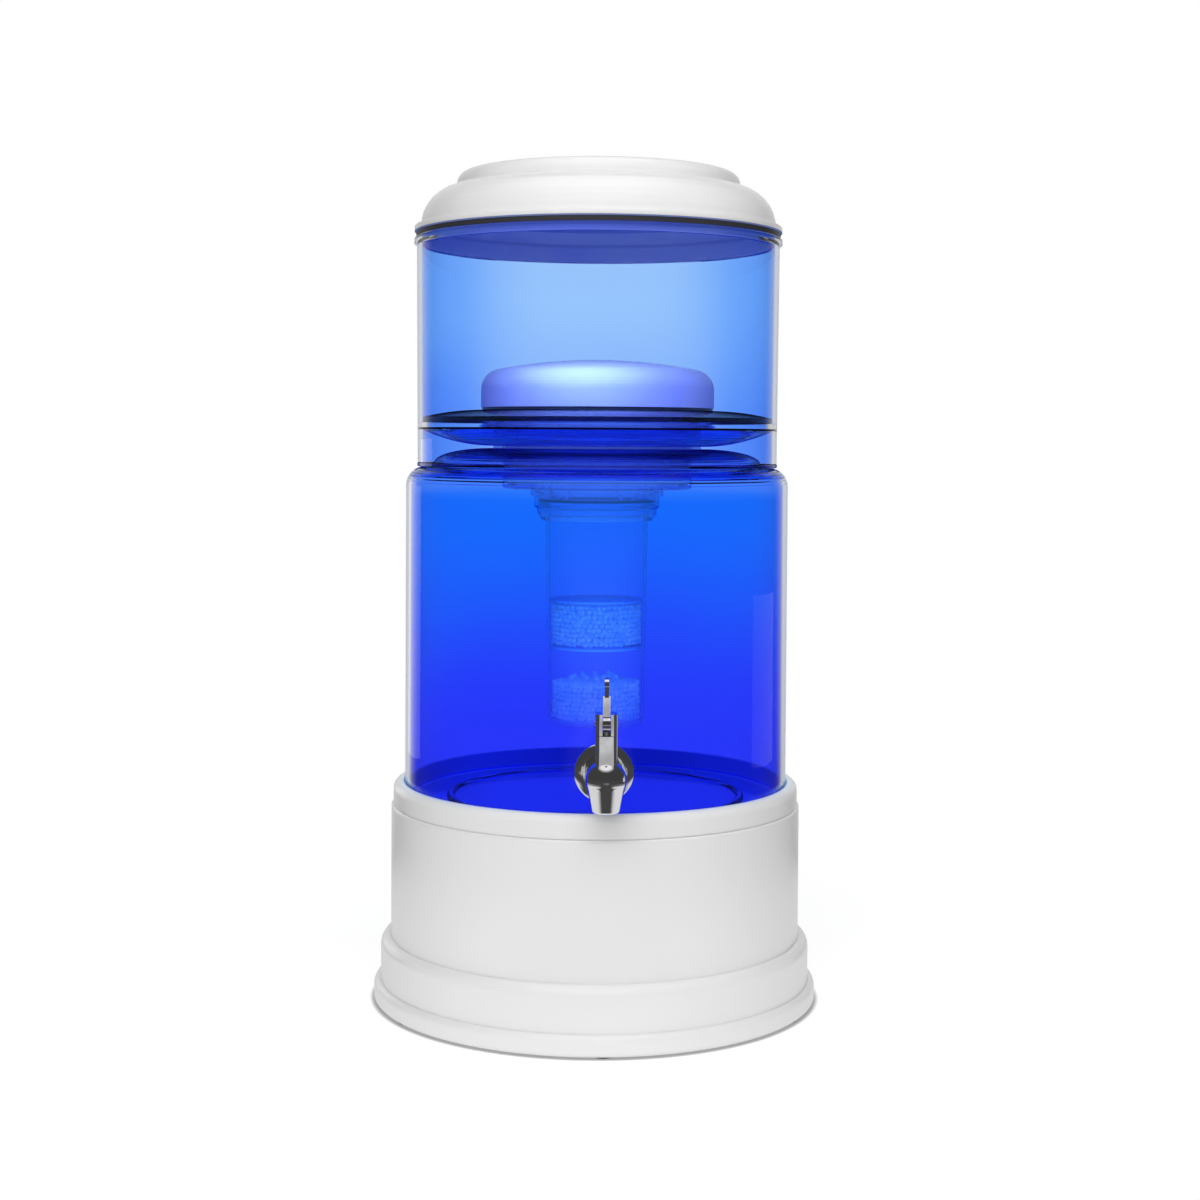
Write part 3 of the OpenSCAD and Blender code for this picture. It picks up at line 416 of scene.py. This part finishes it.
# The lid's white underside is painted a dark bluish matt: painted shade, as if lit only through the blue
# tank.
lid_under_shade = (0.22, 0.29, 0.56)
lid_white = moulded("lid_white", (0.83, 0.83, 0.83), 0.36, coat=0.4, soft_edge=0.003, below=lid_under_shade)
nut_white = moulded("nut_white", (0.85, 0.85, 0.84), 0.4)
ceramic = moulded("ceramic", (0.95, 0.95, 0.95), 0.8, grain=500, grain_bump=0.1)
screen = moulded("screen", (0.25, 0.42, 0.8), 0.7)
silicone = moulded("silicone", (0.8, 0.8, 0.8), 0.5)
pad_rubber = moulded("pad_rubber", (0.06, 0.06, 0.065), 0.7)
valve_rubber = moulded("valve_rubber", (0.02, 0.02, 0.022), 0.55)
gasket_black = moulded("gasket_black", (0.035, 0.035, 0.04), 0.45)
bed_beads = glassy_beads("beads", (1.0, 1.0, 1.0), (0.8, 0.93, 1.0))
loose_beads = glassy_beads("loose", (0.95, 1.0, 1.0), (0.6, 0.95, 1.0))
chrome = metal("chrome", (0.86, 0.86, 0.88), 0.035)
steel = metal("steel", (0.6, 0.6, 0.61), 0.22, brushed=True)


def dress(surface, *names):
    """Gives the named nodes one material on all their slots."""
    for name in names:
        node = nodes[name]
        for slot in node.material_slots:
            slot.material = surface
        if not node.material_slots:
            node.data.materials.append(surface)


dress(stand_white, "base_stand", "seat_ring")
dress(pad_rubber, "base_feet")
dress(lower_blue, "lower_tank")
dress(upper_blue, "upper_tank")
dress(cover_blue, "tank_cover")
dress(tray_blue, "prefilter_tray")
dress(holder_blue, "filter_holder", "holder_nut")
dress(clear_blue, "cartridge_crown", "cartridge_tube", "cartridge_foot")
dress(chrome, "tap_body", "tap_escutcheon", "tap_bonnet", "tap_lever")
dress(steel, "lever_pin", "valve_stem", "valve_spring")
dress(silicone, "tap_outer_washer", "tap_inner_washer", "holder_gasket")
dress(nut_white, "tap_nut")
dress(valve_rubber, "valve_seal", "stem_seal", "cartridge_seal")
# Both are dressed black; the black ring under the dome stands in for the shade there, a painted shade.
dress(gasket_black, "prefilter_seal", "lid_gasket")
dress(ceramic, "prefilter_dome")
dress(screen, "upper_screen", "middle_screen")
dress(loose_beads, "loose_beads")
dress(lid_white, "lid")

# ---------------------------------------------------------------- beads of the two beds
BEAD_R = 0.00165
BEAD_SPREAD = 0.0006
BEAD_SIZES = 0.9, 1.0
ROW_PITCH = 1.6 * BEAD_R
WALL_PITCH = 1.9 * BEAD_R
LAYER_PITCH = 2.02 * BEAD_R
RING_PITCH = 2.05 * BEAD_R


def bead_ball():
    """One bead's points and faces."""
    ball = bmesh.new()
    bmesh.ops.create_icosphere(ball, subdivisions=2, radius=BEAD_R)
    points = np.array([v.co[:] for v in ball.verts])
    faces = np.array([[v.index for v in f.verts] for f in ball.faces])
    ball.free()
    return points, faces


def bead_places(low, high, random):
    """Two rings of beads in each row along the tube's wall, and full layers at the top and bottom."""
    edge = BEAD_R + 1.5 * BEAD_SPREAD
    radius = min(high[0] - low[0], high[1] - low[1]) / 2 - edge
    rows = int((high[2] - low[2] - 2 * edge) / ROW_PITCH)
    places = []
    for row, z in enumerate(np.linspace(low[2] + edge, high[2] - edge, rows + 1)):
        rings = [radius, radius - WALL_PITCH]
        if row in (0, rows):
            rings = np.arange(radius, BEAD_R, -LAYER_PITCH)
        for ring in rings:
            count = int(2 * pi * ring / RING_PITCH)
            turns = 2 * pi * (np.arange(count) + random.uniform(0, 1)) / count
            places += [(ring * cos(a), ring * sin(a), z) for a in turns]
    return np.array(places) + random.uniform(-BEAD_SPREAD, BEAD_SPREAD, (len(places), 3))


def bead_bed(node, seed):
    """A bed of separate beads inside the bed's own bounds."""
    low, high = (np.array(corner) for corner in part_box(node))
    random = np.random.default_rng(seed)
    points, faces = bead_ball()
    middle = np.array([(low[0] + high[0]) / 2, (low[1] + high[1]) / 2, 0])
    places = bead_places(low, high, random) + middle
    count = len(places)
    sizes = random.uniform(*BEAD_SIZES, (count, 1, 1))
    all_points = (places[:, None, :] + points[None] * sizes).reshape(-1, 3)
    all_faces = (faces[None] + np.arange(count)[:, None, None] * len(points)).reshape(-1, 3)
    mesh = bpy.data.meshes.new(node + "_beads")
    mesh.from_pydata(all_points.tolist(), [], all_faces.tolist())
    mesh.polygons.foreach_set("use_smooth", [True] * len(mesh.polygons))
    mesh.materials.append(bed_beads)
    bed = bpy.data.objects.new(node + "_beads", mesh)
    scene.collection.objects.link(bed)
    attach(bed, "cartridge")
    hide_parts(node)


bead_bed("upper_media", 11)
bead_bed("lower_media", 12)

# ---------------------------------------------------------------- room
AMBIENT = 0.12
INNER_WHITE = (0.95, 0.95, 0.95)  # what a ray finds that was mirrored inside a vessel
FLOOR_EDGE = 12.0
FOOT_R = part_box("base_stand")[1][0]
SHADOW_REACH = FOOT_R + 0.02, FOOT_R + 0.31
SHADOW_DEPTH = 0.3
SHADOW_LINE_REACH = FOOT_R - 0.0005, FOOT_R + 0.0035  # the painted shadow line where the foot stands
SHADOW_LINE_GREY = 0.15
SOFT_REACH = 0.2, 0.8  # where the light that the floor throws up fades to half
NEAR_REACH = 0.35, 0.6  # where the mirrored light round the foot fades
BESIDE_X = 0.10, 0.24
BEHIND_Y = -0.26, -0.22
AHEAD_START = -0.85, -1.05
AHEAD_END = -1.9, -1.6
AHEAD_X = 0.25, 0.45
BACK_SPAN = 0.6, 0.95  # how far a direction turns to the back where what is mirrored gets lighter
BACK_LIGHT = 0.7
DARK_FLOOR = 0.06


def looks_through(g, path):
    """1 for what the camera sees directly or through clear walls, 0 for what is mirrored on the way."""
    mirrored = g.math("GREATER_THAN", path["Glossy Depth"], 0.5)
    through = g.math("SUBTRACT", path["Is Transmission Ray"], mirrored, clamp=True)
    return g.larger(path["Is Camera Ray"], through)


def not_soft_light(g, path):
    """1 for rays that a polished or clear surface sent on."""
    return g.larger(path["Is Glossy Ray"], path["Is Transmission Ray"])


def bounced_inside(g, path):
    """1 for rays that were mirrored inside a vessel and left it through its far side."""
    many_walls = g.math("GREATER_THAN", path["Transmission Depth"], 3.5)
    return g.product(many_walls, g.math("GREATER_THAN", path["Glossy Depth"], 0.5))


def make_world():
    """White behind the object, dim in front for what metal and glass mirror, and grey for soft light."""
    world = bpy.data.worlds.new("studio")
    scene.world = world
    g = Graph(world)
    path = g.path()
    _, y, z = g.split(g.node("ShaderNodeTexCoord").outputs["Generated"])
    mirrored = g.grey(g.larger(g.span(y, *BACK_SPAN, 0.0, BACK_LIGHT), g.span(z, 0.8, 0.95, 0.05, 0.9)))
    mirrored = g.mix(bounced_inside(g, path), mirrored, INNER_WHITE)
    colour = g.mix(not_soft_light(g, path), (AMBIENT, AMBIENT, AMBIENT), mirrored)
    colour = g.mix(looks_through(g, path), colour, WHITE)
    g.output(g.node("ShaderNodeBackground", {"Color": colour}), "ShaderNodeOutputWorld")


def shown_floor(g, reach):
    """White with a faint shadow round the foot and a painted shadow line where the foot stands."""
    shade = g.span(reach, *SHADOW_REACH, SHADOW_DEPTH, 0.0)
    shaded = g.node("ShaderNodeBsdfDiffuse", {"Color": g.grey(shade)})
    # A painted shadow: the floor's white turns to a grey line where the foot stands.
    line = g.span(reach, *SHADOW_LINE_REACH, SHADOW_LINE_GREY, 1.0)
    white = g.product(line, g.math("SUBTRACT", 1.0, g.product(shade, 0.75)))
    return g.node("ShaderNodeAddShader", {0: shaded, 1: g.glow(g.grey(white))})


def mirrored_floor(g, reach):
    """What metal and glass mirror: light round the foot, in patches ahead, and at the back."""
    x, y, _ = g.split(g.place())
    aside = g.math("ABSOLUTE", x)
    beside = g.larger(g.span(aside, *BESIDE_X), g.span(y, *BEHIND_Y))
    near = g.product(g.span(reach, *NEAR_REACH, 0.75, 0.0), beside)
    patches = g.span(g.noise(9, 2, stretch=(3, 1, 1)), 0.35, 0.65, 0.3, 0.65)
    ahead = g.product(g.span(y, *AHEAD_START), g.span(y, *AHEAD_END, 0.0, patches))
    ahead = g.product(ahead, g.span(aside, *AHEAD_X, 1.0, 0.0))
    behind = g.span(g.math("DIVIDE", y, reach), *BACK_SPAN, 0.0, BACK_LIGHT)
    return g.grey(g.larger(behind, g.larger(g.larger(near, ahead), DARK_FLOOR)))


def make_floor():
    """A pale floor that shows white, keeps a faint shadow and throws soft light up at the foot."""
    made, g = material("floor")
    path = g.path()
    reach = g.length(g.place())
    soft = g.glow(g.grey(g.span(reach, *SOFT_REACH, 1.0, 0.5)))
    mirrored = g.mix(bounced_inside(g, path), mirrored_floor(g, reach), INNER_WHITE)
    surface = g.blend(not_soft_light(g, path), soft, g.glow(mirrored))
    surface = g.blend(looks_through(g, path), surface, g.glow(WHITE))
    surface = g.blend(path["Is Camera Ray"], surface, shown_floor(g, reach))
    g.output(surface)
    mesh = bpy.data.meshes.new("floor")
    corners = [(x * FLOOR_EDGE, y * FLOOR_EDGE, 0) for x, y in ((-1, -1), (1, -1), (1, 1), (-1, 1))]
    mesh.from_pydata(corners, [], [(0, 1, 2, 3)])
    mesh.materials.append(made)
    floor = bpy.data.objects.new("floor", mesh)
    scene.collection.objects.link(floor)


# ---------------------------------------------------------------- lamps
SOFTBOXES = (
    # name, azimuth, elevation, distance, width, height, strength
    ("top_box", 0, 88, 1.6, 1.3, 1.3, 0.95),
    ("low_box", -16, 20, 1.9, 1.7, 1.1, 1.8),
    ("high_box", -8, 46, 1.9, 1.7, 1.0, 3.3),
    ("right_box", 72, 36, 1.9, 0.8, 0.9, 2.6),
    ("back_box", 180, 34, 1.9, 1.6, 0.6, 3.0),
)
AIM = 0.28
HIDDEN_SPREAD = radians(140)
HIDDEN_BLUE = (0.8, 0.9, 1.0)


def area_lamp(name, place, target, width, height, strength):
    """A rectangular lamp at place that looks at target."""
    data = bpy.data.lights.new(name, "AREA")
    data.shape = "RECTANGLE"
    data.size = width
    data.size_y = height
    data.energy = strength * width * height * pi
    lamp = bpy.data.objects.new(name, data)
    look = (place - target).to_track_quat("Z", "Y").to_matrix().to_4x4()
    lamp.matrix_world = Matrix.Translation(place) @ look
    lamp.visible_transmission = False
    scene.collection.objects.link(lamp)
    return lamp


def softbox(name, azimuth, elevation, distance, width, height, strength, aim=AIM, mirrored=False):
    """A lamp round the object; azimuth 0 is in front and 90 to the right."""
    a, e = radians(azimuth), radians(elevation)
    target = Vector((0, 0, aim))
    place = target + distance * Vector((sin(a) * cos(e), -cos(a) * cos(e), sin(e)))
    area_lamp(name, place, target, width, height, strength).visible_glossy = mirrored


def hidden_lamp(name, place, target, width, height, strength):
    """A soft lamp inside a tank that lights what stands there and isn't seen itself."""
    lamp = area_lamp(name, Vector(place), Vector(target), width, height, strength)
    lamp.data.spread = HIDDEN_SPREAD
    lamp.data.color = HIDDEN_BLUE
    lamp.visible_camera = lamp.visible_glossy = False


def make_lamps():
    """Soft light from all sides, two mirrored cards beside the tank, and two lamps inside the tanks."""
    for values in SOFTBOXES:
        softbox(*values)
    softbox("left_card", -135, 0, 0.7, 0.3, 0.3, 0.6, aim=0.2, mirrored=True)
    softbox("right_card", 108, 0, 0.7, 0.3, 0.16, 0.5, aim=0.13, mirrored=True)
    hidden_lamp("dome_lamp", (-0.01, -0.106, 0.42), (0, -0.05, 0.388), 0.12, 0.03, 4.2)
    hidden_lamp("cartridge_lamp", (0, -0.1, 0.22), (0, 0, 0.21), 0.05, 0.1, 4.5)


make_camera()
make_world()
make_floor()
make_lamps()
scene.view_settings.view_transform = "Standard"
scene.cycles.max_bounces = 24
scene.cycles.transmission_bounces = 24
scene.cycles.transparent_max_bounces = 32
scene.cycles.glossy_bounces = 6
